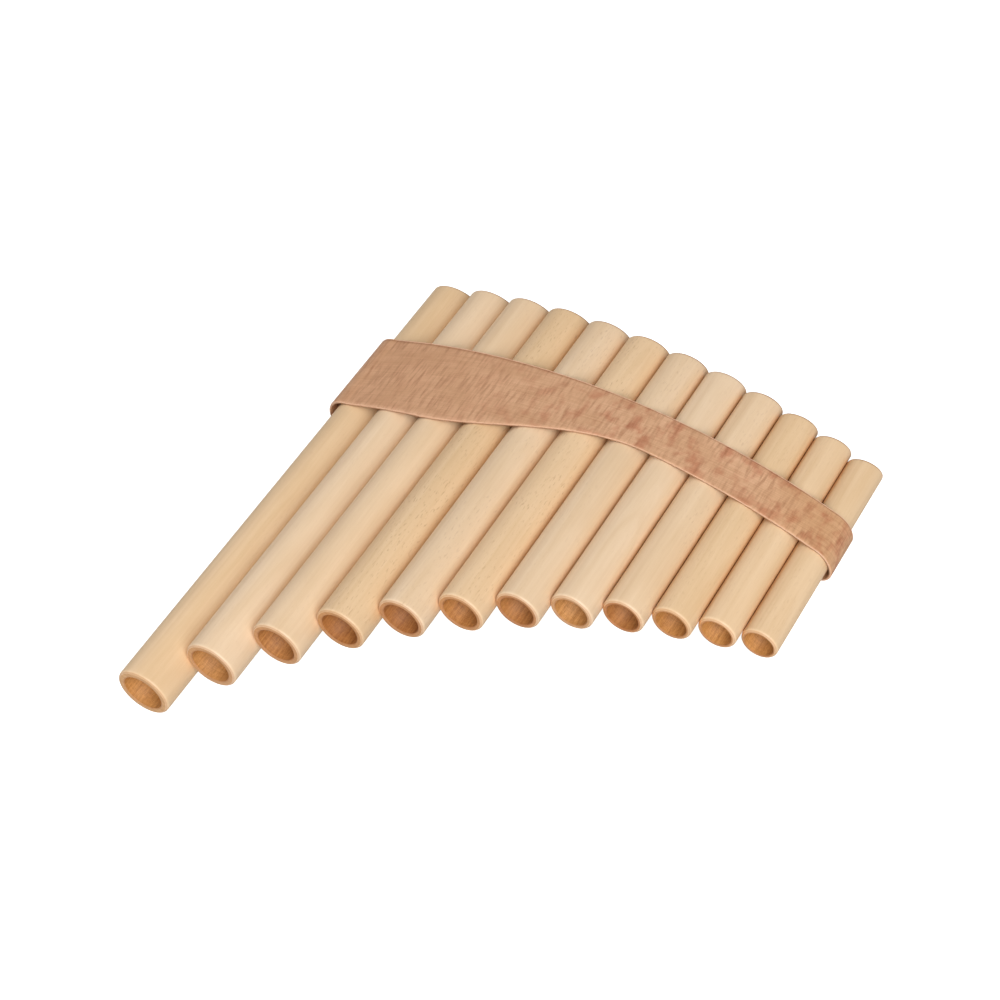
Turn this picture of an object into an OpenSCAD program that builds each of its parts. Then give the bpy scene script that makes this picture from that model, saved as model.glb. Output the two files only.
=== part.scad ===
// Curved pan flute: turned maple pipes glued side by side on an arc, each closed by a cork
// stopper inside its open foot, and held by a thin strip of wood bent round the whole row.
// It lies on its hollow side, with the pipes along Y, the blown ends towards +Y and the long
// pipes at -X. The origin is under the middle of the flute.

/* [Pipes] */
// Outside diameter of the longest pipe
long_od = 22.5; // [21:0.5:24]
// Outside diameter of the shortest pipe
short_od = 14.6; // [14:0.1:16]
// Bore of the longest pipe
long_bore = 16.2; // [14:0.1:17]
// Bore of the shortest pipe
short_bore = 11; // [9:0.1:11.5]
// Length of the longest pipe
long_length = 234.4; // [230:0.2:250]
// Length that the pipes tend to as the row goes on
limit_length = 32.4; // [30:0.2:38]
// Each pipe's length beyond that limit, as a share of its longer neighbour's
length_ratio = 0.9; // [0.895:0.005:0.91]
// How far the blown end is cut back for each millimetre up through a pipe
mouth_cut = 0.28; // [0.1:0.01:0.35]
// Rounding of the outer edge at the foot of a pipe
rim_round = 1.2; // [0.6:0.1:1.3]
// Bevel of the inner edge at the foot of a pipe
rim_bevel = 0.3; // [0.2:0.1:0.4]
// Depth of the slightly wider bore at the foot, where a stopper is started or a peg fits
foot_depth = 8; // [6:0.5:9]
// How much wider in radius the bore is at the foot
foot_relief = 0.25; // [0.2:0.05:0.3]

/* [Row] */
// Turn of the row from its first pair of pipes to its last, in degrees
row_turn = 37.5; // [25:0.5:42]
// How far the blown ends fall back for each millimetre across the row
mouth_slope = 0.136; // [0.05:0.002:0.16]
// Film of glue between neighbouring pipes, and between a pipe and the band
glue_film = 0.1; // [0.05:0.05:0.2]

/* [Stoppers] */
// Pitch of the longest pipe in hertz
low_note = 392; // [392:1:415]
// Thickness of a cork stopper
stopper_thickness = 8; // [6:0.5:9]
// Radial running clearance round a stopper
stopper_clearance = 0.05; // [0.02:0.01:0.08]
// Bevel round a stopper's edges
stopper_bevel = 0.5; // [0.3:0.1:0.8]

/* [Band] */
// Thickness of the bent strip
band_thickness = 1.1; // [0.8:0.1:2]
// How far the strip's bend stands off the side of the longest pipe
long_slack = 2.4; // [0.3:0.1:2.6]
// Where that bend's gap is widest: 1 is halfway round, and less is nearer the convex side
long_skew = 0.7; // [0.6:0.1:1.2]
// How far the strip's other bend stands off the side of the shortest pipe
short_slack = 1.5; // [0.3:0.1:1.8]
// Where that bend's gap is widest: 1 is halfway round, and more is nearer the hollow side
short_skew = 1.6; // [0.8:0.1:1.8]
// Width of the strip over the long pipes
wide_width = 40.4; // [30:0.2:42]
// Width of the strip over the short pipes
narrow_width = 19.8; // [15:0.2:24]
// Distance from the longest pipe's blown end to the strip's upper edge
band_drop = 41.8; // [38:0.2:46]
// How far the strip's upper edge falls back for each millimetre across the row
band_slope = 0.088; // [0.06:0.001:0.14]
// Where the strip starts to narrow, measured across the row from the longest pipe
narrow_from = 35; // [20:1:50]
// Where the strip has finished narrowing
narrow_to = 132; // [90:1:140]

/* [Hidden] */
pipe_count = 12;
last = pipe_count - 1;
$fn = 96;

// Semitones above the longest pipe: a major scale that carries on into the next octave
scale_steps = [0, 2, 4, 5, 7, 9, 11, 12, 14, 16, 17, 19];
// Speed of sound in millimetres a second
sound_speed = 343000;
// Part of a bore's diameter by which the air column sounds longer than it is
end_correction = 0.305;

// Steps in a quarter turn of a rounded rim, and round one bend of the strip
rim_steps = 5;
bend_steps = 48;
// Points along the strip's narrowing edge, and between two pipes on either side
edge_steps = 24;
span_steps = 4;

function two_digits(n) = n < 10 ? str("0", n) : str(n);
function pipe_name(i) = str("pipe_", two_digits(i + 1));
function stopper_name(i) = str("stopper_", two_digits(i + 1));

// Pipe sizes, with 0 for the longest pipe

function along(first, final, i) = first + (final - first) * i / last;
function outer_r(i) = along(long_od, short_od, i) / 2;
function bore_r(i) = along(long_bore, short_bore, i) / 2;
function pipe_length(i) = limit_length + (long_length - limit_length) * pow(length_ratio, i);
function note(i) = low_note * pow(2, scale_steps[i] / 12);
function air_column(i) = sound_speed / (4 * note(i)) - end_correction * 2 * bore_r(i);

// The row seen along the pipes, as [x, z] points

function unit(a) = [cos(a), sin(a)];
function turned(p, a) = [p.x * cos(a) - p.y * sin(a), p.x * sin(a) + p.y * cos(a)];
function raw_angle(i) = row_turn * (0.5 - i / (last - 1));
function pitch(i) = outer_r(i) + outer_r(i + 1) + glue_film;
function raw_centre(i) = i == 0 ? [0, 0] : raw_centre(i - 1) + pitch(i - 1) * unit(raw_angle(i - 1));

// Tilt that brings the two end pipes down to the same level
raw_end = raw_centre(last);
row_tilt = atan2(raw_end.y, raw_end.x) - asin((outer_r(last) - outer_r(0)) / norm(raw_end));

function step_angle(i) = raw_angle(i) - row_tilt;
function row_angle(i) =
    i == 0 ? step_angle(0) :
    i == last ? step_angle(last - 1) :
    (step_angle(i - 1) + step_angle(i)) / 2;

// Centres before the row is moved over the origin
function placed(i) = turned(raw_centre(i), -row_tilt);

// The strip seen along the pipes

band_skin = glue_film + band_thickness;

// Lean of the convex and hollow sides towards each other, as the pipes get thinner
lean = asin((outer_r(0) - outer_r(last)) / norm(raw_end));

// Direction of the strip where it touches a pipe: side 90 is convex, and side -90 is hollow
function run_angle(i, side) = row_angle(i) - sign(side) * lean;
function touch_angle(i, side) = run_angle(i, side) + side;
function touch(i, off, side) = placed(i) + (outer_r(i) + off) * unit(touch_angle(i, side));

// A smooth curve from p to q that leaves p at angle a and reaches q at angle b, at share s
function smooth(p, q, a, b, s) =
    let (reach = norm(q - p))
    (2 * s * s * s - 3 * s * s + 1) * p + (s * s * s - 2 * s * s + s) * reach * unit(a)
    + (3 * s * s - 2 * s * s * s) * q + (s * s * s - s * s) * reach * unit(b);

// From the first pipe to the last along one side, without the last point
function run(off, side) = [
    for (i = [0:last - 1])
        for (k = [0:span_steps - 1])
            smooth(
                touch(i, off, side), touch(i + 1, off, side),
                run_angle(i, side), run_angle(i + 1, side), k / span_steps
            )
];

// How far the strip stands off an end pipe, at a share t of the way round it
function stand_off(i, t) =
    i == 0 ? long_slack * pow(sin(180 * pow(1 - t, long_skew)), 2) :
    short_slack * pow(sin(180 * pow(t, short_skew)), 2);

// Half a turn round an end pipe, without its last point
function bend(i, off, from, to) = [
    for (k = [0:bend_steps - 1])
        let (t = k / bend_steps)
        placed(i) + (outer_r(i) + off + stand_off(i, t)) * unit(from + (to - from) * t)
];

function front_path(off) = concat(
    bend(0, off, touch_angle(0, -90) + 360, touch_angle(0, 90)),
    run(off, 90),
    bend(last, off, touch_angle(last, 90), touch_angle(last, -90)),
    [touch(last, off, -90)]
);
function back_path(off) = concat(run(off, -90), [touch(last, off, -90)]);
function reversed(path) = [for (k = [len(path) - 1:-1:0]) path[k]];

// The row moved so that the origin is under the middle of the whole flute

skin_path = front_path(band_skin);
skin_x = [for (p = skin_path) p.x];
skin_z = [for (p = skin_path) p.y];
shift = [-(min(skin_x) + max(skin_x)) / 2, -min(skin_z)];
row_width = max(skin_x) - min(skin_x);

// Each blown end is cut at a slant that faces up, so that its lower lip stands out beyond its axis
function lip(i) = mouth_cut * outer_r(i);
half_length = (long_length + lip(0)) / 2;

function centre(i) = shift + placed(i);
function mouth_y(i) = half_length - lip(0) - mouth_slope * placed(i).x;

// The strip seen from above

function narrowed(x) =
    let (s = min(1, max(0, (x - narrow_from) / (narrow_to - narrow_from))))
    s * s * (3 - 2 * s);
function upper_edge(x) = mouth_y(0) - band_drop - band_slope * x;
function lower_edge(x) = upper_edge(x) - wide_width + (wide_width - narrow_width) * narrowed(x);

module band_plan() {
    plan_margin = 2 * long_od;
    lower = concat(
        [-plan_margin],
        [for (k = [0:edge_steps]) narrow_from + (narrow_to - narrow_from) * k / edge_steps],
        [row_width + plan_margin]
    );
    translate([shift.x, 0])
        polygon(concat(
            [for (x = lower) [x, lower_edge(x)]],
            [for (x = [row_width + plan_margin, -plan_margin]) [x, upper_edge(x)]]
        ));
}

// A strip with the given outline seen along the pipes, cut to the plan
module band_piece(outline) {
    intersection() {
        translate([shift.x, half_length, shift.y])
            rotate([90, 0, 0])
                linear_extrude(long_length)
                    polygon(outline);
        linear_extrude(long_length)
            band_plan();
    }
}

module front_band() {
    color([0.76, 0.58, 0.46])
        band_piece(concat(front_path(glue_film), reversed(front_path(band_skin))));
}

module back_band() {
    inner = back_path(glue_film);
    outer = back_path(band_skin);
    n = len(inner) - 1;
    // Its two end faces stand a film of glue short of the front strip's ends
    function trimmed(path) = [
        for (k = [0:n])
            k == 0 ? path[k] + glue_film * unit(run_angle(0, -90)) :
            k == n ? path[k] - glue_film * unit(run_angle(last, -90)) :
            path[k]
    ];
    color([0.72, 0.54, 0.42])
        band_piece(concat(trimmed(inner), reversed(trimmed(outer))));
}

// Half section of a pipe whose blown end is at 0 on its axis, with spare length there for the cut
function pipe_section(i) =
    let (r = outer_r(i), b = bore_r(i), h = pipe_length(i), f = bore_r(i) + foot_relief)
    let (spare = lip(i) + 1)
    concat(
        [[r, -spare]],
        [for (k = [0:rim_steps]) [r - rim_round, h - rim_round] + rim_round * unit(90 * k / rim_steps)],
        [[f + rim_bevel, h], [f, h - rim_bevel], [f, h - foot_depth]],
        [[b, h - foot_depth], [b, -spare]]
    );

module pipe(i) {
    color([0.89, 0.77, 0.62])
        translate([centre(i).x, mouth_y(i), centre(i).y])
            rotate([90, 0, 0])
                difference() {
                    rotate_extrude()
                        polygon(pipe_section(i));
                    rotate([atan(mouth_cut), 0, 0])
                        translate([-long_od, -long_od, -2 * long_od])
                            cube(2 * long_od);
                }
}

module stopper(i) {
    r = bore_r(i) - stopper_clearance;
    h = stopper_thickness;
    c = stopper_bevel;
    color([0.75, 0.56, 0.38])
        translate([centre(i).x, mouth_y(i) - air_column(i), centre(i).y])
            rotate([90, 0, 0])
                rotate_extrude()
                    polygon([[0, 0], [r - c, 0], [r, c], [r, h - c], [r - c, h], [0, h]]);
}

for (i = [0:last])
    pipe(i);
for (i = [0:last])
    stopper(i);
front_band();
back_band();
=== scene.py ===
"""Pan flute: the looks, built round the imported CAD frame, in metres and with the CAD's axes."""

import math
import random

import bpy
from mathutils import Matrix, Vector


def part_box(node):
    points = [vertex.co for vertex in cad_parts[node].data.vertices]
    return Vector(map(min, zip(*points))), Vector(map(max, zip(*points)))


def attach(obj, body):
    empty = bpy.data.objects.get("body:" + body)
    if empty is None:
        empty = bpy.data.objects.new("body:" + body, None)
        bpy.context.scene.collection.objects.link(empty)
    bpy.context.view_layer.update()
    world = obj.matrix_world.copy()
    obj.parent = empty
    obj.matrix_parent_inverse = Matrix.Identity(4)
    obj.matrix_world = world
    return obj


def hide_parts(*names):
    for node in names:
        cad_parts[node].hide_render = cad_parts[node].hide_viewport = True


MM = 0.001
COUNT = 12
LAST = COUNT - 1
QUARTER = math.pi / 2

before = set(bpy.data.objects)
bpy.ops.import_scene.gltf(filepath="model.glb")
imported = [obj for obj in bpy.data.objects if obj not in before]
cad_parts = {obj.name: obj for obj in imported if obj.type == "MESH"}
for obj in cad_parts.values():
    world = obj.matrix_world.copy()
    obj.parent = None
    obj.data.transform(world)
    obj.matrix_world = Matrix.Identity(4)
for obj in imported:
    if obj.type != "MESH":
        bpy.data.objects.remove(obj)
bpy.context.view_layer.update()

# ---------------------------------------------------------------- sizes, as in the CAD

# How far a blown end is cut back for each millimetre up through its pipe
MOUTH_CUT = 0.28
# How far down a pipe the mesh is slanted to follow that cut
CUT_REACH = 25 * MM
# Rounding of a rim's outer edge, and bevel of its inner edge
RIM_ROUND = 1.2 * MM
RIM_BEVEL = 0.3 * MM
# The slightly wider bore at the foot
FOOT_DEPTH = 8 * MM
FOOT_RELIEF = 0.25 * MM
STOPPER_GAP = 0.05 * MM
STOPPER_BEVEL = 0.5 * MM
GLUE_FILM = 0.1 * MM
# The strip, and how it stands off the longest and the shortest pipe
BAND_THICKNESS = 1.1 * MM
LONG_SLACK, LONG_SKEW = 2.4 * MM, 0.7
SHORT_SLACK, SHORT_SKEW = 1.5 * MM, 1.6
# Its upper edge, its two widths, and where it narrows
BAND_DROP = 41.8 * MM
BAND_SLOPE = 0.088
WIDE, NARROW = 40.4 * MM, 19.8 * MM
NARROW_FROM, NARROW_TO = 35 * MM, 132 * MM
# The strip's skin stays this far inside its CAD solid
SKIN_MARGIN = 0.02 * MM


class Pipe:
    """One pipe's sizes at rest. Its axis runs along Y through (x, z)."""

    def __init__(self, i):
        self.number = f"{i + 1:02d}"
        lo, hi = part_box("pipe_" + self.number)
        self.x, self.z = (lo.x + hi.x) / 2, (lo.z + hi.z) / 2
        self.radius = (hi.x - lo.x) / 2
        self.mouth, self.foot = hi.y - MOUTH_CUT * self.radius, lo.y
        self.length = self.mouth - self.foot
        lo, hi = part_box("stopper_" + self.number)
        self.stopper_radius = (hi.x - lo.x) / 2
        self.stopper_face, self.stopper_height = hi.y, hi.y - lo.y
        self.bore = self.stopper_radius + STOPPER_GAP

    def at(self, angle, reach):
        """A point seen along the pipes, as (x, z)."""
        return Vector((self.x + reach * math.cos(angle), self.z + reach * math.sin(angle)))


PIPES = [Pipe(i) for i in range(COUNT)]


def step_angle(i):
    """Direction from a pipe to the next, seen along the pipes."""
    return math.atan2(PIPES[i + 1].z - PIPES[i].z, PIPES[i + 1].x - PIPES[i].x)


# Each pipe's own piece of wood: lightness, warmth, how many flecks it shows, how much painted
# shade darkens its bore and how dark its end grain is
TONES = [
    (0.98, 0.22, 0.3, 0.05, 0.00), (1.01, -0.28, 0.2, 0.15, 0.35), (0.99, -0.12, 0.2, 0.45, 0.55),
    (0.94, 0.30, 1.0, 0.60, 0.50), (0.98, -0.26, 0.6, 0.70, 0.70), (0.99, 0.12, 1.0, 0.38, 0.64),
    (0.98, -0.24, 0.5, 0.55, 0.90), (1.01, -0.36, 0.2, 0.05, 0.30), (1.00, -0.17, 0.5, 0.57, 1.00),
    (0.97, 0.26, 0.4, 0.08, 0.53), (1.01, 0.08, 0.3, 0.00, 0.57), (0.98, 0.16, 0.3, 0.05, 0.52),
]

# ---------------------------------------------------------------- the camera

# The camera aims at a point set from the longest pipe
TARGET = Vector((PIPES[0].x + 81.17 * MM, PIPES[0].foot + 132 * MM, PIPES[0].z + 6.57 * MM))
AZIMUTH, ELEVATION, ROLL = (math.radians(a) for a in (39.28, 44.78, -12.95))
DISTANCE = 0.8835
LENS, SENSOR = 82.08, 36.0


def make_camera():
    data = bpy.data.cameras.new("camera")
    data.lens, data.sensor_width = LENS, SENSOR
    camera = bpy.data.objects.new("camera", data)
    bpy.context.collection.objects.link(camera)
    ca, sa, ce, se = math.cos(AZIMUTH), math.sin(AZIMUTH), math.cos(ELEVATION), math.sin(ELEVATION)
    back = Vector((sa * ce, -ca * ce, se))
    level = Vector((ca, sa, 0))
    upright = Vector((-sa * se, ca * se, ce))
    right = math.cos(ROLL) * level + math.sin(ROLL) * upright
    up = math.cos(ROLL) * upright - math.sin(ROLL) * level
    turn = Matrix((right, up, back)).transposed().to_4x4()
    camera.matrix_world = Matrix.Translation(TARGET + DISTANCE * back) @ turn
    bpy.context.scene.camera = camera


make_camera()

# ---------------------------------------------------------------- materials

# How far apart in the wood two pieces lie whose seeds differ by one
SEED_STEP = (61.0, 137.0, 83.0)
# Where the middle of the tree lies beside a pipe, and how far apart its rings are
PITH = (40.0, 70.0)
RING_SPACING = 1.6


class Graph:
    """A Principled material, and short names for the nodes that feed it.

    Lengths inside it are millimetres, and noise and attributes run from 0 to 1.
    """

    def __init__(self, name):
        self.material = bpy.data.materials.new(name)
        self.material.use_nodes = True
        self.tree = self.material.node_tree
        self.tree.nodes.clear()
        self.shader = self.node("ShaderNodeBsdfPrincipled")
        out = self.node("ShaderNodeOutputMaterial")
        self.tree.links.new(self.shader.outputs[0], out.inputs[0])

    def node(self, kind, inputs=None, **settings):
        made = self.tree.nodes.new(kind)
        for key, value in settings.items():
            setattr(made, key, value)
        for key, value in (inputs or {}).items():
            self.put(made.inputs[key], value)
        return made

    def put(self, socket, value):
        if isinstance(value, bpy.types.NodeSocket):
            self.tree.links.new(value, socket)
        else:
            socket.default_value = value

    def math(self, operation, *values):
        return self.node("ShaderNodeMath", dict(enumerate(values)), operation=operation).outputs[0]

    def vector(self, operation, a, b):
        return self.node("ShaderNodeVectorMath", {0: a, 1: b}, operation=operation).outputs[0]

    def attribute(self, name, output):
        return self.node("ShaderNodeAttribute", attribute_name=name).outputs[output]

    def place(self):
        """The point, moved so that each piece is cut from its own part of the wood."""
        local = self.node("ShaderNodeTexCoord").outputs["Object"]
        millimetres = self.vector("MULTIPLY", local, (1 / MM,) * 3)
        seeds = {k: self.attribute("seed", "Fac") for k in range(3)}
        own = self.node("ShaderNodeCombineXYZ", seeds).outputs[0]
        return self.vector("ADD", millimetres, self.vector("MULTIPLY", own, SEED_STEP))

    def noise(self, vector, size, detail=2.0, rough=0.5, warp=0.0):
        """Noise with features of this size along each axis."""
        inputs = {
            "Vector": self.vector("MULTIPLY", vector, tuple(1.0 / s for s in size)),
            "Scale": 1.0,
            "Detail": detail,
            "Roughness": rough,
            "Distortion": warp,
        }
        return self.node("ShaderNodeTexNoise", inputs).outputs[0]

    def ramp(self, value, low, high, to_low=0.0, to_high=1.0):
        """The value taken from the range low to high into another range, and held inside it."""
        inputs = {0: value, 1: low, 2: high, 3: to_low, 4: to_high}
        return self.node("ShaderNodeMapRange", inputs, clamp=True).outputs[0]

    def mix(self, amount, a, b, blend="MIX"):
        inputs = {0: amount, 6: a, 7: b}
        return self.node("ShaderNodeMix", inputs, data_type="RGBA", blend_type=blend).outputs[2]

    def darkened(self, amount, colour, factor):
        """The colour, multiplied by a factor as far as the amount says."""
        return self.mix(amount, colour, self.mix(1.0, colour, (*factor, 1), "MULTIPLY"))

    def finish(self, colour, roughness, height, depth, specular=0.5):
        """Feed the shader. A height of 0 to 1 makes a bump this many millimetres deep."""
        inputs = {"Height": height, "Distance": depth * MM, "Strength": 1.0}
        bump = self.node("ShaderNodeBump", inputs).outputs[0]
        self.put(self.shader.inputs["Base Color"], colour)
        self.put(self.shader.inputs["Roughness"], roughness)
        self.put(self.shader.inputs["Normal"], bump)
        self.shader.inputs["Specular IOR Level"].default_value = specular
        return self.material


def weighted(g, *terms):
    """The sum of value times weight."""
    total = None
    for value, weight in terms:
        part = g.math("MULTIPLY", value, weight)
        total = part if total is None else g.math("ADD", total, part)
    return total


def growth(g, place):
    """Growth rings round the tree's middle, which runs along Y beside the piece."""
    wander = g.noise(place, (60.0, 140.0, 60.0), 2.0)
    moved = g.vector("ADD", place, (PITH[0], 0.0, PITH[1]))
    flat = g.vector("MULTIPLY", moved, (1.0, 0.0, 1.0))
    reach = g.node("ShaderNodeVectorMath", {0: flat}, operation="LENGTH").outputs["Value"]
    reach = g.math("ADD", reach, g.math("MULTIPLY", wander, 9.0))
    along = g.node("ShaderNodeSeparateXYZ", {0: place}).outputs[1]
    slow = g.math("MULTIPLY", along, 0.012)
    rings = g.node("ShaderNodeCombineXYZ", {0: reach, 1: slow}).outputs[0]
    return g.noise(rings, (RING_SPACING, 1.0, 1.0), 3.0, 0.55)


def maple_side():
    """The turned outside: grain along the pipe, small flecks, painted warm shade beside the seams
    and painted shade on the foot's rounded rim.
    """
    g = Graph("maple_side")
    place = g.place()
    rings = growth(g, place)
    streak = g.noise(place, (1.3, 70.0, 1.3), 4.0, 0.6)
    fibre = g.noise(place, (0.28, 7.0, 0.28), 3.0, 0.6)
    cloud = g.noise(place, (16.0, 34.0, 16.0), 2.0)
    fleck = g.ramp(g.noise(place, (0.5, 2.4, 0.5), 1.0, 0.4), 0.60, 0.74)
    fleck = g.math("MULTIPLY", fleck, g.ramp(cloud, 0.40, 0.60, 0.15, 1.0))
    fleck = g.math("MULTIPLY", fleck, g.attribute("fleck", "Fac"))
    edge = g.attribute("edge", "Fac")

    light = weighted(g, (rings, 0.36), (streak, 0.30), (fibre, 0.14), (cloud, 0.20))
    light = g.ramp(light, 0.33, 0.67)
    colour = g.mix(light, (0.90, 0.85, 0.77, 1), (1.05, 1.06, 1.08, 1))
    colour = g.mix(1.0, g.attribute("tint", "Color"), colour, "MULTIPLY")
    colour = g.darkened(g.math("MULTIPLY", fleck, 0.45), colour, (0.56, 0.44, 0.38))
    # Painted warm shade beside the seams, where the pipes shade each other.
    valley_shade = g.math("MULTIPLY", g.attribute("valley_shade", "Fac"), g.ramp(cloud, 0.3, 0.7, 0.75, 1.0))
    colour = g.darkened(valley_shade, colour, (0.97, 0.72, 0.45))
    # Painted shade on the foot's rounding, which tones down its highlight there.
    colour = g.darkened(g.ramp(edge, 0.30, 1.0, 0.0, 0.80), colour, (0.68, 0.45, 0.33))

    rough = weighted(g, (fibre, 0.16), (cloud, 0.10), (fleck, 0.10))
    rough = g.math("ADD", rough, g.ramp(edge, 0.2, 1.0, 0.33, 0.25))
    height = weighted(g, (fibre, 0.55), (streak, 0.45), (fleck, -0.5))
    return g.finish(colour, rough, height, 0.035)


def maple_end():
    """End grain on the rims: rings, pores and the marks of the cut, with painted shade on the
    bevels.
    """
    g = Graph("maple_end")
    place = g.place()
    rings = growth(g, place)
    pores = g.noise(place, (0.22, 0.5, 0.22), 3.0, 0.6)
    scrape = g.noise(place, (1.4, 0.3, 0.25), 2.0)
    edge = g.attribute("edge", "Fac")
    light = g.ramp(weighted(g, (rings, 0.45), (pores, 0.35), (scrape, 0.20)), 0.36, 0.62)
    colour = g.mix(light, (0.65, 0.48, 0.34, 1), (0.88, 0.72, 0.56, 1))
    colour = g.darkened(g.attribute("dark_end", "Fac"), colour, (0.80, 0.60, 0.46))
    colour = g.mix(1.0, g.attribute("tint", "Color"), colour, "MULTIPLY")
    # Painted shade on the rims' bevels and the end of the foot's rounding.
    colour = g.darkened(g.ramp(edge, 0.30, 1.0, 0.0, 0.90), colour, (0.66, 0.44, 0.32))
    rough = g.ramp(pores, 0.2, 0.8, 0.48, 0.68)
    height = weighted(g, (pores, 0.6), (scrape, 0.4))
    return g.finish(colour, rough, height, 0.05, 0.4)


def maple_bore():
    """The bored inside: painted darker and more orange than the outside, as shade inside the
    hollow, with streaks along it and the tool's rings across it.
    """
    g = Graph("maple_bore")
    place = g.place()
    streak = g.noise(place, (0.9, 30.0, 0.9), 4.0, 0.6)
    tool = g.noise(place, (9.0, 0.35, 9.0), 2.0)
    fuzz = g.noise(place, (0.3, 1.6, 0.3), 2.0)
    light = g.ramp(weighted(g, (streak, 0.45), (tool, 0.2), (fuzz, 0.35)), 0.36, 0.62)
    # Painted shade: the bore's colours are darker than the outside's, and each pipe's bore value
    # darkens it further.
    colour = g.mix(light, (0.445, 0.243, 0.086, 1), (0.80, 0.535, 0.258, 1))
    colour = g.darkened(g.attribute("bore_shade", "Fac"), colour, (0.62, 0.42, 0.30))
    colour = g.mix(1.0, g.attribute("tint", "Color"), colour, "MULTIPLY")
    rough = g.ramp(fuzz, 0.2, 0.8, 0.5, 0.7)
    height = weighted(g, (tool, 0.5), (fuzz, 0.3), (streak, 0.2))
    return g.finish(colour, rough, height, 0.05, 0.4)


def band_face():
    """The strip's faces: long fine grain with short rays across it.

    Along the strip it is painted darker at the long pipes, as shade where it turns away from the
    light, more patched beyond them, and more orange at the far end.
    """
    g = Graph("band_face")
    flat = g.attribute("flat", "Vector")
    along = g.node("ShaderNodeSeparateXYZ", {0: flat}).outputs[0]
    lines = g.noise(flat, (34.0, 0.45, 1.0), 4.0, 0.6)
    fine = g.noise(flat, (7.0, 0.18, 1.0), 3.0, 0.6)
    ray = g.noise(flat, (1.5, 11.0, 1.0), 3.0, 0.5, 0.2)
    ray_fine = g.noise(flat, (0.5, 3.2, 1.0), 2.0, 0.5)
    cloud = g.noise(flat, (22.0, 15.0, 1.0), 3.0)
    patch = g.noise(flat, (7.0, 9.0, 1.0), 4.0, 0.6)
    speck = g.ramp(g.noise(flat, (0.55, 1.3, 1.0), 1.0, 0.4), 0.68, 0.76)
    rays = g.ramp(ray, 0.46, 0.68)
    rays = g.math("MULTIPLY", rays, g.ramp(cloud, 0.34, 0.60, 0.30, 1.0))
    patches = g.math(
        "MULTIPLY", g.ramp(patch, 0.48, 0.64), g.ramp(along, 95.0, 160.0, 0.15, 1.0)
    )
    edge = g.attribute("edge", "Fac")

    light = g.ramp(weighted(g, (lines, 0.40), (fine, 0.25), (cloud, 0.35)), 0.36, 0.64)
    colour = g.mix(light, (0.55, 0.300, 0.157, 1), (0.76, 0.462, 0.284, 1))
    # Painted shade: darker towards the long pipes, where the strip turns away from the light.
    colour = g.darkened(g.ramp(along, 60.0, 160.0, 1.0, 0.0), colour, (0.97, 0.905, 0.84))
    colour = g.darkened(g.ramp(along, 222.0, 246.0, 0.0, 1.0), colour, (0.98, 0.95, 0.87))
    colour = g.darkened(patches, colour, (0.82, 0.64, 0.60))
    dark = weighted(g, (rays, 0.78), (g.ramp(ray_fine, 0.50, 0.75), 0.26), (speck, 0.32))
    colour = g.darkened(dark, colour, (0.66, 0.55, 0.48))
    # Painted shade along the strip's upper outer edge, which tones down its highlight.
    colour = g.darkened(g.ramp(edge, 0.3, 1.0, 0.0, 0.75), colour, (0.60, 0.42, 0.32))

    rough = weighted(g, (rays, 0.10), (fine, 0.14))
    rough = g.math("ADD", rough, g.ramp(edge, 0.2, 1.0, 0.40, 0.30))
    height = weighted(g, (lines, 0.35), (fine, 0.25), (rays, -0.30), (speck, -0.30))
    return g.finish(colour, rough, height, 0.035)


def band_edge():
    """The strip's cut edges and softened corners."""
    g = Graph("band_edge")
    flat = g.attribute("flat", "Vector")
    lines = g.noise(flat, (9.0, 0.25, 0.25), 3.0, 0.6)
    pores = g.noise(flat, (0.5, 0.3, 0.3), 2.0)
    light = g.ramp(weighted(g, (lines, 0.6), (pores, 0.4)), 0.36, 0.64)
    colour = g.mix(light, (0.56, 0.32, 0.19, 1), (0.75, 0.49, 0.34, 1))
    rough = g.ramp(pores, 0.2, 0.8, 0.42, 0.62)
    return g.finish(colour, rough, lines, 0.04)


def cork():
    """Cork: grains of two tones, with dark pits."""
    g = Graph("cork")
    place = g.place()
    inputs = {"Vector": place, "Scale": 0.9, "Randomness": 1.0}
    grains = g.node("ShaderNodeTexVoronoi", inputs, feature="F1")
    cells = g.noise(place, (0.45, 0.45, 0.45), 3.0, 0.6)
    pits = g.ramp(g.noise(place, (1.6, 0.7, 1.1), 2.0, 0.5), 0.60, 0.68)
    tone = g.node("ShaderNodeSeparateColor", {0: grains.outputs["Color"]}).outputs[0]
    light = g.ramp(weighted(g, (tone, 0.5), (cells, 0.5)), 0.2, 0.8)
    colour = g.mix(light, (0.36, 0.19, 0.085, 1), (0.60, 0.38, 0.21, 1))
    colour = g.mix(pits, colour, (0.10, 0.045, 0.02, 1))
    rough = g.ramp(cells, 0.2, 0.8, 0.75, 0.92)
    height = weighted(g, (cells, 0.5), (grains.outputs["Distance"], -0.3), (pits, -1.0))
    return g.finish(colour, rough, height, 0.25, 0.3)


def glue():
    """Dried glue: dark brown and slightly lumpy, dark enough to paint the shade line in each
    valley.
    """
    g = Graph("glue")
    place = g.place()
    lumps = g.noise(place, (0.8, 3.5, 0.8), 3.0, 0.6)
    light = g.ramp(lumps, 0.35, 0.65)
    # Painted shade: the glue is nearly black-brown so that it draws the shade line in the valley.
    colour = g.mix(light, (0.13, 0.050, 0.018, 1), (0.22, 0.095, 0.038, 1))
    rough = g.ramp(lumps, 0.2, 0.8, 0.4, 0.65)
    return g.finish(colour, rough, lumps, 0.15)


MAPLE = [maple_side(), maple_end(), maple_bore()]
BAND = [band_face(), band_edge()]
CORK = [cork()]
GLUE_AND_SHADE = [glue()]

# ---------------------------------------------------------------- meshes


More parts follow.
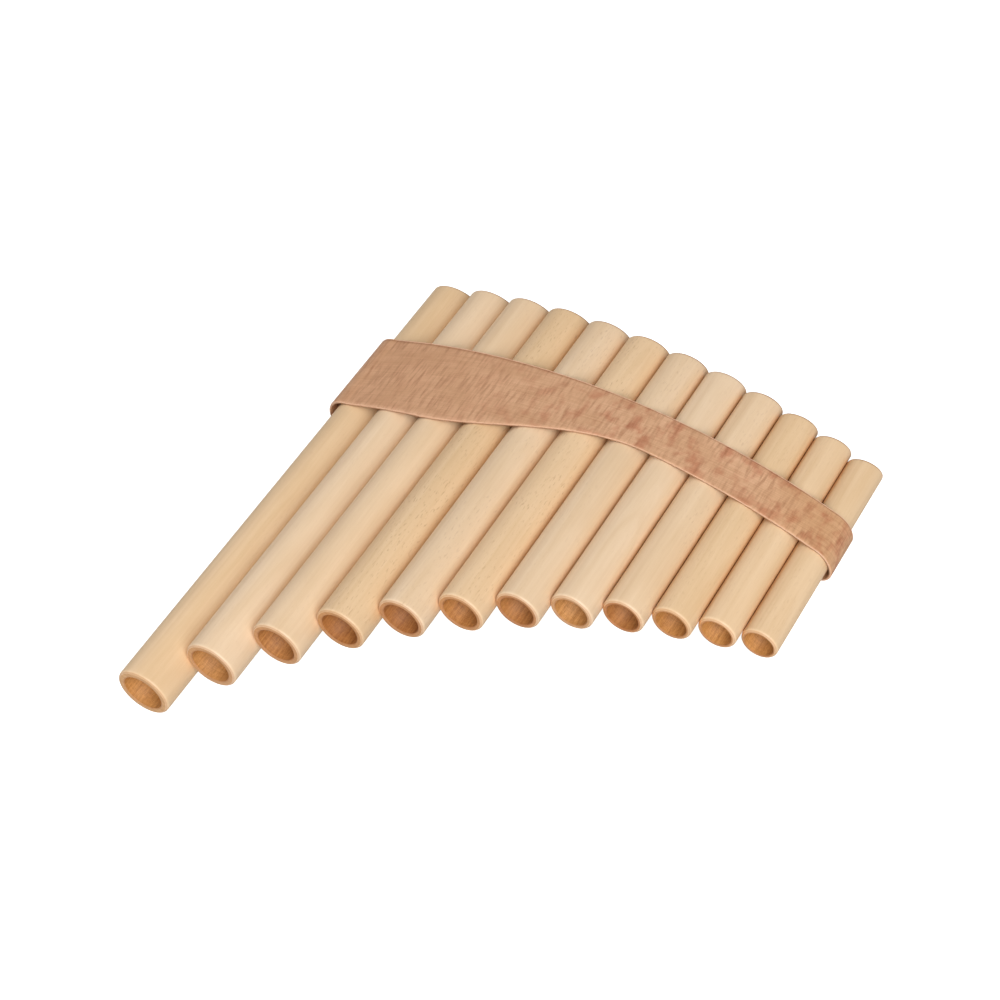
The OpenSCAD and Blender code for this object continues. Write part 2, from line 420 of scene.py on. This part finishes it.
def make_piece(name, vertices, faces, slots, materials, values, at=(0, 0, 0)):
    """A mesh object whose faces take material slots, with attributes given point by point."""
    mesh = bpy.data.meshes.new(name)
    mesh.from_pydata([tuple(v) for v in vertices], [], faces)
    for m in materials:
        mesh.materials.append(m)
    mesh.polygons.foreach_set("material_index", slots)
    mesh.polygons.foreach_set("use_smooth", [True] * len(faces))
    for key, (kind, field, data) in values.items():
        attribute = mesh.attributes.new(key, kind, "POINT")
        attribute.data.foreach_set(field, data)
    mesh.validate()
    mesh.update()
    piece = bpy.data.objects.new(name, mesh)
    piece.location = at
    bpy.context.collection.objects.link(piece)
    return piece


def floats(values):
    return ("FLOAT", "value", list(values))


def colours(values):
    return ("FLOAT_COLOR", "color", [c for v in values for c in v])


def vectors(values):
    return ("FLOAT_VECTOR", "vector", [c for v in values for c in v])


def turned_piece(name, profile, closed, materials, values, at, segments=96, cut=None, valley_shade=None):
    """A solid of revolution about Y.

    profile holds (radius, y, material slot of the face to the next point, painted edge shade).
    cut(y, z) moves points along Y; the shade function of (angle, y) gives the painted warm shade
    beside the seams.
    """
    vertices, faces, slots, edges, valley_shades = [], [], [], [], []
    n = len(profile)
    for k in range(segments):
        a = 2 * math.pi * k / segments
        for radius, y, _, edge in profile:
            z = radius * math.cos(a)
            vertices.append((radius * math.sin(a), y + (cut(y, z) if cut else 0.0), z))
            edges.append(edge)
            valley_shades.append(valley_shade(a, y) if valley_shade else 0.0)
    for k in range(segments):
        here, there = k * n, (k + 1) % segments * n
        for j in range(n if closed else n - 1):
            j2 = (j + 1) % n
            faces.append((here + j, here + j2, there + j2, there + j))
            slots.append(profile[j][2])
    if not closed:
        faces.append([k * n for k in range(segments)])
        faces.append([k * n + n - 1 for k in reversed(range(segments))])
        slots += [profile[0][2], profile[-1][2]]
    count = len(vertices)
    filled = {"edge": floats(edges), "valley_shade": floats(valley_shades)}
    for key, (make, value) in values.items():
        filled[key] = make([value] * count)
    return make_piece(name, vertices, faces, slots, materials, filled, at)


SIDE, END, BORE = 0, 1, 2
ROUND_STEPS = 6
BEVEL_STEPS = 3
BORE_STEPS = 8
# How far apart a pipe's rings of points are, and where the closer rings near its rims are
RING_STEP = 8 * MM
NEAR_RIM = (2 * MM, 3.5 * MM, 6 * MM)
# Painted shade on a rounding is darkest at this share of its turn, and fades out this far to either
# side
EDGE_SHADE_AT, EDGE_SHADE_REACH = 0.6, 0.35
# How much painted shade the bevels and the middles of the rims take
BEVEL_SHADE, FLAT_SHADE = 0.6, 0.2


def pipe_profile(pipe):
    """Half section of a pipe from its blown end at y = 0 to its foot."""
    r, b, h = pipe.radius, pipe.bore, pipe.length
    f = b + FOOT_RELIEF
    points = []

    def quarter(radius, y, size, start, slot_from, slot_to, edge_shade):
        for k in range(ROUND_STEPS + 1):
            a = math.radians(start + 90 * k / ROUND_STEPS)
            slot = slot_from if k < ROUND_STEPS - 1 else slot_to
            edge = edge_shade * max(0.0, 1 - abs(k / ROUND_STEPS - EDGE_SHADE_AT) / EDGE_SHADE_REACH)
            points.append((radius + size * math.cos(a), y - size * math.sin(a), slot, edge))

    quarter(r - RIM_ROUND, -RIM_ROUND, RIM_ROUND, -90, END, SIDE, 0.0)
    points += [(r, -d, SIDE, 0.0) for d in NEAR_RIM]
    steps = max(4, round(h / RING_STEP))
    for k in range(1, steps):
        points.append((r, -(RING_STEP + (h - 2 * RING_STEP) * k / steps), SIDE, 0.0))
    points += [(r, -h + d, SIDE, 0.0) for d in reversed(NEAR_RIM)]
    # Only the foot's rounding takes painted shade, which tones down its highlight.
    quarter(r - RIM_ROUND, -h + RIM_ROUND, RIM_ROUND, 0, SIDE, END, 1.0)
    breadth = r - RIM_ROUND - f - RIM_BEVEL
    points.append((f + RIM_BEVEL + 0.85 * breadth, -h, END, 0.0))
    points.append((f + RIM_BEVEL + 0.3 * breadth, -h, END, FLAT_SHADE))
    for k in range(BEVEL_STEPS + 1):
        a = math.radians(90 * k / BEVEL_STEPS)
        radius, y = f + RIM_BEVEL * (1 - math.sin(a)), -h + RIM_BEVEL * (1 - math.cos(a))
        points.append((radius, y, END if k < BEVEL_STEPS else BORE, BEVEL_SHADE))
    points.append((f, -h + FOOT_DEPTH, BORE, 0.0))
    for k in range(BORE_STEPS):
        y = -h + FOOT_DEPTH + (h - FOOT_DEPTH - RIM_BEVEL) * k / BORE_STEPS
        points.append((b, y, BORE, 0.0))
    for k in range(BEVEL_STEPS + 1):
        a = math.radians(90 * k / BEVEL_STEPS)
        radius, y = b + RIM_BEVEL * (1 - math.cos(a)), -RIM_BEVEL * (1 - math.sin(a))
        points.append((radius, y, END, BEVEL_SHADE))
    middle = (r - RIM_ROUND + b + RIM_BEVEL) / 2
    points.append((middle, 0.0, END, FLAT_SHADE))
    return points


# The maple's mean colour, and how much a warmth of 1 takes from each of its channels
MAPLE_TINT = (0.80, 0.585, 0.375)
WARMING = (0.0, 0.10, 0.30)


def pipe_tint(lightness, warmth):
    return (*(c * lightness * (1 - w * warmth) for c, w in zip(MAPLE_TINT, WARMING)), 1.0)


def slant(y, z):
    """The blown end is cut at a slant, and the points below it follow less and less."""
    return -MOUTH_CUT * z * max(0.0, 1 + y / CUT_REACH)


# How far round a pipe from a seam the painted warm shade reaches, over how much of that it fades,
# and the length over which it starts above the neighbour's foot
SHADE_REACH, SHADE_FADE = math.radians(40), math.radians(32)
SHADE_START = 6 * MM


def valley_shade_of(i, pipe):
    """Painted warm shade beside the seams that a pipe shares with its neighbours, where they shade
    each other.
    """
    sides = []
    if i > 0:
        sides.append((step_angle(i - 1) + math.pi, PIPES[i - 1].foot))
    if i < LAST:
        sides.append((step_angle(i), PIPES[i + 1].foot))

    def valley_shade(angle, y):
        most = 0.0
        for facing, foot in sides:
            apart = abs((QUARTER - angle - facing + math.pi) % (2 * math.pi) - math.pi)
            near = min(1.0, max(0.0, (SHADE_REACH - apart) / SHADE_FADE))
            above = min(1.0, max(0.0, (pipe.mouth + y - foot) / SHADE_START))
            most = max(most, near * near * above)
        return most

    return valley_shade


def make_pipe(i, pipe):
    lightness, warmth, flecks, bore_shade, dark_end = TONES[i]
    values = {
        "seed": (floats, i * 1.37 + 0.4),
        "tint": (colours, pipe_tint(lightness, warmth)),
        "fleck": (floats, flecks),
        "bore_shade": (floats, bore_shade),
        "dark_end": (floats, dark_end),
    }
    at = (pipe.x, pipe.mouth, pipe.z)
    piece = turned_piece(
        "pipe_wood_" + pipe.number, pipe_profile(pipe), True, MAPLE, values, at,
        cut=slant, valley_shade=valley_shade_of(i, pipe),
    )
    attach(piece, "root")
    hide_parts("pipe_" + pipe.number)


def make_stopper(i, pipe):
    """A cork disc with softened corners, from its blown-end face at y = 0."""
    r, h, c = pipe.stopper_radius, pipe.stopper_height, STOPPER_BEVEL
    corner = [math.radians(90 * k / BEVEL_STEPS) for k in range(BEVEL_STEPS + 1)]
    points = [(0.3 * r, 0.0, 0, 0.0), (0.7 * r, 0.0, 0, 0.0)]
    points += [(r - c + c * math.sin(a), -c + c * math.cos(a), 0, 1.0) for a in corner]
    points += [(r, -h * s, 0, 0.0) for s in (0.3, 0.5, 0.7)]
    points += [(r - c + c * math.cos(a), -h + c - c * math.sin(a), 0, 1.0) for a in corner]
    points += [(0.7 * r, -h, 0, 0.0), (0.3 * r, -h, 0, 0.0)]
    values = {"seed": (floats, i * 0.73 + 0.2)}
    at = (pipe.x, pipe.stopper_face, pipe.z)
    piece = turned_piece(
        "cork_stopper_" + pipe.number, points, False, CORK, values, at, segments=64
    )
    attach(piece, "stopper_" + pipe.number)
    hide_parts("stopper_" + pipe.number)


for i, pipe in enumerate(PIPES):
    make_pipe(i, pipe)
    make_stopper(i, pipe)

# ---------------------------------------------------------------- the band


def row_angle(i):
    """Direction of the row at a pipe."""
    if i == 0:
        return step_angle(0)
    if i == LAST:
        return step_angle(LAST - 1)
    return (step_angle(i - 1) + step_angle(i)) / 2


# The row's two sides close in on each other towards the thin pipes, each by this angle
ROW_LENGTH = math.hypot(PIPES[LAST].x - PIPES[0].x, PIPES[LAST].z - PIPES[0].z)
LEAN = math.asin((PIPES[0].radius - PIPES[LAST].radius) / ROW_LENGTH)


def run_angle(i, side):
    """Direction of the strip where it passes a pipe, on the side QUARTER or -QUARTER of the row."""
    return row_angle(i) - math.copysign(LEAN, side)


def touch(i, off, side):
    """The point of the strip that passes a pipe, this far off its surface."""
    return PIPES[i].at(run_angle(i, side) + side, PIPES[i].radius + off)


def heading(a):
    return Vector((math.cos(a), math.sin(a)))


def run(off, side, steps=6):
    """From the first pipe to the last along one side of the row, without the last point."""
    points = []
    for i in range(LAST):
        p, q = touch(i, off, side), touch(i + 1, off, side)
        leave, arrive = ((q - p).length * heading(run_angle(k, side)) for k in (i, i + 1))
        for k in range(steps):
            s = k / steps
            points.append(
                (2 * s**3 - 3 * s**2 + 1) * p + (s**3 - 2 * s**2 + s) * leave
                + (3 * s**2 - 2 * s**3) * q + (s**3 - s**2) * arrive
            )
    return points


def stand_off(i, t):
    """How far the strip stands off an end pipe, at a share t of the way round it."""
    if i == 0:
        return LONG_SLACK * math.sin(math.pi * (1 - t) ** LONG_SKEW) ** 2
    return SHORT_SLACK * math.sin(math.pi * t**SHORT_SKEW) ** 2


def bend(i, off, start, end, steps=96):
    """Half a turn round an end pipe, without its last point."""
    points = []
    for k in range(steps):
        t = k / steps
        reach = PIPES[i].radius + off + stand_off(i, t)
        points.append(PIPES[i].at(start + (end - start) * t, reach))
    return points


def front_path(off):
    """Round the longest pipe, along the convex side and round the shortest pipe."""
    first = [run_angle(0, s) + s for s in (-QUARTER, QUARTER)]
    final = [run_angle(LAST, s) + s for s in (QUARTER, -QUARTER)]
    return (
        bend(0, off, first[0] + 2 * math.pi, first[1])
        + run(off, QUARTER)
        + bend(LAST, off, final[0], final[1])
        + [touch(LAST, off, -QUARTER)]
    )


def back_path(off):
    """Along the hollow side, with a film of glue between its ends and the front strip's."""
    points = run(off, -QUARTER) + [touch(LAST, off, -QUARTER)]
    points[0] = points[0] + GLUE_FILM * heading(run_angle(0, -QUARTER))
    points[-1] = points[-1] - GLUE_FILM * heading(run_angle(LAST, -QUARTER))
    return points


def upper_edge(x):
    """The y of the strip's edge nearer the blown ends."""
    return PIPES[0].mouth - BAND_DROP - BAND_SLOPE * (x - PIPES[0].x)


def lower_edge(x):
    """The y of its other edge, an S from the wide part to the narrow part."""
    s = min(1.0, max(0.0, (x - PIPES[0].x - NARROW_FROM) / (NARROW_TO - NARROW_FROM)))
    return upper_edge(x) - WIDE + (WIDE - NARROW) * s * s * (3 - 2 * s)


FACE, CUT = 0, 1
# Radius of the strip's softened corners
CORNER = 0.14 * MM
CORNER_STEPS = 4
# Where the points across the strip's faces lie, as shares of its width
ACROSS = (0.012, 0.05, 0.2, 0.4, 0.6, 0.8, 0.95, 0.988)
# How much painted shade the strip takes beside its upper outer corner, on that corner and on the
# other three
NEAR_SHADE, UPPER_SHADE, OTHER_SHADE = 0.8, 1.0, 0.3


def make_band(name, path, seed):
    """A bent strip: a rectangle with softened corners, carried along its path.

    seed says which part of the wood the strip is cut from, in millimetres.
    """
    inner = path(GLUE_FILM + SKIN_MARGIN)
    outer = path(GLUE_FILM + BAND_THICKNESS - SKIN_MARGIN)
    vertices, flat, edges = [], [], []
    gone = 0.0
    for k, (p, q) in enumerate(zip(inner, outer)):
        if k:
            gone += (q - outer[k - 1]).length
        out = (q - p).normalized()
        depth = (q - p).length
        section = []
        # The corners in order: outer upper, outer lower, inner lower, inner upper
        for corner, start in enumerate((0, 90, 180, 270)):
            far, low = corner in (0, 1), corner in (1, 2)
            for j in range(CORNER_STEPS + 1):
                a = math.radians(start + 90 * j / CORNER_STEPS)
                rise = (depth - CORNER if far else CORNER) + CORNER * math.sin(a + QUARTER)
                side = (CORNER if low else -CORNER) + CORNER * math.cos(a)
                section.append((rise, low, side, CUT, OTHER_SHADE if corner else UPPER_SHADE))
            if corner in (0, 2):
                for share in ACROSS:
                    # Painted shade on the outer face beside its upper corner, which tones down the
                    # highlight along that edge.
                    edge_shade = NEAR_SHADE if far and share == ACROSS[0] else 0.0
                    rise, side = (depth, share) if far else (0.0, 1 - share)
                    section.append((rise, None, side, FACE, edge_shade))
        for rise, low, side, slot, edge in section:
            point = p + rise * out
            top, bottom = upper_edge(point.x), lower_edge(point.x)
            if low is None:
                y = (top - CORNER) + (bottom - top + 2 * CORNER) * side
            else:
                y = (bottom if low else top) + side
            vertices.append((point.x, y, point.y))
            flat.append((gone / MM + seed, y / MM + seed, rise / MM))
            edges.append(edge)
    ring = [slot for _, _, _, slot, _ in section]
    n = len(ring)
    faces, slots = [], []
    for k in range(len(outer) - 1):
        for j in range(n):
            j2 = (j + 1) % n
            faces.append((k * n + j, k * n + j2, (k + 1) * n + j2, (k + 1) * n + j))
            slots.append(FACE if FACE in (ring[j], ring[j2]) else CUT)
    final = (len(outer) - 1) * n
    faces += [list(reversed(range(n))), [final + j for j in range(n)]]
    slots += [CUT, CUT]
    values = {"flat": vectors(flat), "edge": floats(edges)}
    piece = make_piece(name + "_wood", vertices, faces, slots, BAND, values)
    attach(piece, "root")
    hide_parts(name)


make_band("front_band", front_path, 0.0)
make_band("back_band", back_path, 400.0)

# ---------------------------------------------------------------- dried glue between the pipes, dark as painted valley shade

# The glue fills the gap until the pipes' surfaces are this far apart, which sets how wide the
# painted dark line in each valley is
SEAM_WIDTH = 0.32 * MM
# It stops this far short of the rims, and its rings of points are about this far apart
SEAM_END = 2 * MM
SEAM_STEP = 5 * MM
# How much of its full depth the glue has at its ends, and at the least elsewhere
END_SHARE, LEAST_SHARE = 0.5, 0.86
# Points on either side of the middle of each of its two long faces
SEAM_POINTS = 3
SEAM_SEED = 31


def make_seam(i):
    """The glue that fills the thin gap between two pipes, following both of them, and paints the
    dark shade line in the valley.
    """
    a, b = PIPES[i], PIPES[i + 1]
    angle = step_angle(i)
    along, normal = heading(angle), heading(angle + QUARTER)
    start = Vector((a.x, a.z)) + (a.radius + GLUE_FILM / 2) * along
    half = math.sqrt(2 * (SEAM_WIDTH - GLUE_FILM) / (1 / a.radius + 1 / b.radius))
    section = []
    for pipe, sign in ((a, -1), (b, 1)):
        side = []
        for k in range(2 * SEAM_POINTS + 1):
            t = half * (k / SEAM_POINTS - 1)
            sag = pipe.radius - math.sqrt(pipe.radius**2 - t**2)
            side.append(start + t * normal + sign * (GLUE_FILM / 2 + sag) * along)
        section += side if sign < 0 else reversed(side)
    rng = random.Random(SEAM_SEED + i)
    top = min(a.mouth, b.mouth) - SEAM_END
    bottom = max(a.foot, b.foot) + SEAM_END
    steps = max(4, round((top - bottom) / SEAM_STEP))
    n = len(section)
    vertices = []
    middle = sum(section, Vector((0, 0))) / n
    for k in range(steps + 1):
        y = top + (bottom - top) * k / steps
        share = END_SHARE if k in (0, steps) else rng.uniform(LEAST_SHARE, 1.0)
        for p in section:
            off = p - middle
            p = middle + off.dot(normal) * share * normal + off.dot(along) * along
            vertices.append((p.x, y, p.y))
    faces = [
        (k * n + j, (k + 1) * n + j, (k + 1) * n + (j + 1) % n, k * n + (j + 1) % n)
        for k in range(steps) for j in range(n)
    ]
    faces += [list(range(n)), [steps * n + j for j in reversed(range(n))]]
    values = {"seed": floats([i * 0.9 + 0.1] * len(vertices))}
    slots = [0] * len(faces)
    piece = make_piece("glue_seam_" + a.number, vertices, faces, slots, GLUE_AND_SHADE, values)
    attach(piece, "root")


for i in range(LAST):
    make_seam(i)

# ---------------------------------------------------------------- floor and light


FLOOR_HALF = 6.0
FLOOR_GLOW = 0.9
SKY_STRENGTH = 0.08


def make_floor():
    """A pale floor that looks pure white to the camera."""
    g = Graph("floor")
    paper = g.noise(g.place(), (3.0, 3.0, 3.0), 2.0)
    colour = g.mix(paper, (0.60, 0.60, 0.60, 1), (0.62, 0.62, 0.62, 1))
    g.finish(colour, 0.9, paper, 0.01, 0.0)
    seen = g.node("ShaderNodeLightPath").outputs["Is Camera Ray"]
    g.shader.inputs["Emission Color"].default_value = (1, 1, 1, 1)
    g.put(g.shader.inputs["Emission Strength"], g.math("MULTIPLY", seen, FLOOR_GLOW))
    corners = [(x * FLOOR_HALF, y * FLOOR_HALF, 0) for x, y in ((-1, -1), (1, -1), (1, 1), (-1, 1))]
    values = {"seed": floats([0.0] * 4)}
    floor = make_piece("floor", corners, [(0, 1, 2, 3)], [0], [g.material], values)


def make_light(name, azimuth, elevation, distance, size, strength):
    """A soft square light, with angles in degrees.

    strength is the radiance that it alone gives a white surface facing it.
    """
    a, e = math.radians(azimuth), math.radians(elevation)
    towards = Vector((math.cos(a) * math.cos(e), math.sin(a) * math.cos(e), math.sin(e)))
    data = bpy.data.lights.new(name, "AREA")
    data.shape, data.size = "SQUARE", size
    data.energy = strength * (math.pi * distance) ** 2
    light = bpy.data.objects.new(name, data)
    bpy.context.collection.objects.link(light)
    light.location = TARGET + distance * towards
    light.rotation_mode = "QUATERNION"
    light.rotation_quaternion = towards.to_track_quat("Z", "Y")


make_floor()
make_light("key", azimuth=315, elevation=38, distance=2.0, size=1.7, strength=1.33)
make_light("fill", azimuth=180, elevation=40, distance=2.0, size=1.7, strength=0.50)

world = bpy.data.worlds.new("studio")
bpy.context.scene.world = world
world.use_nodes = True
sky = world.node_tree.nodes["Background"]
sky.inputs[0].default_value = (1.0, 1.0, 1.0, 1.0)
sky.inputs[1].default_value = SKY_STRENGTH

bpy.context.scene.view_settings.view_transform = "Standard"
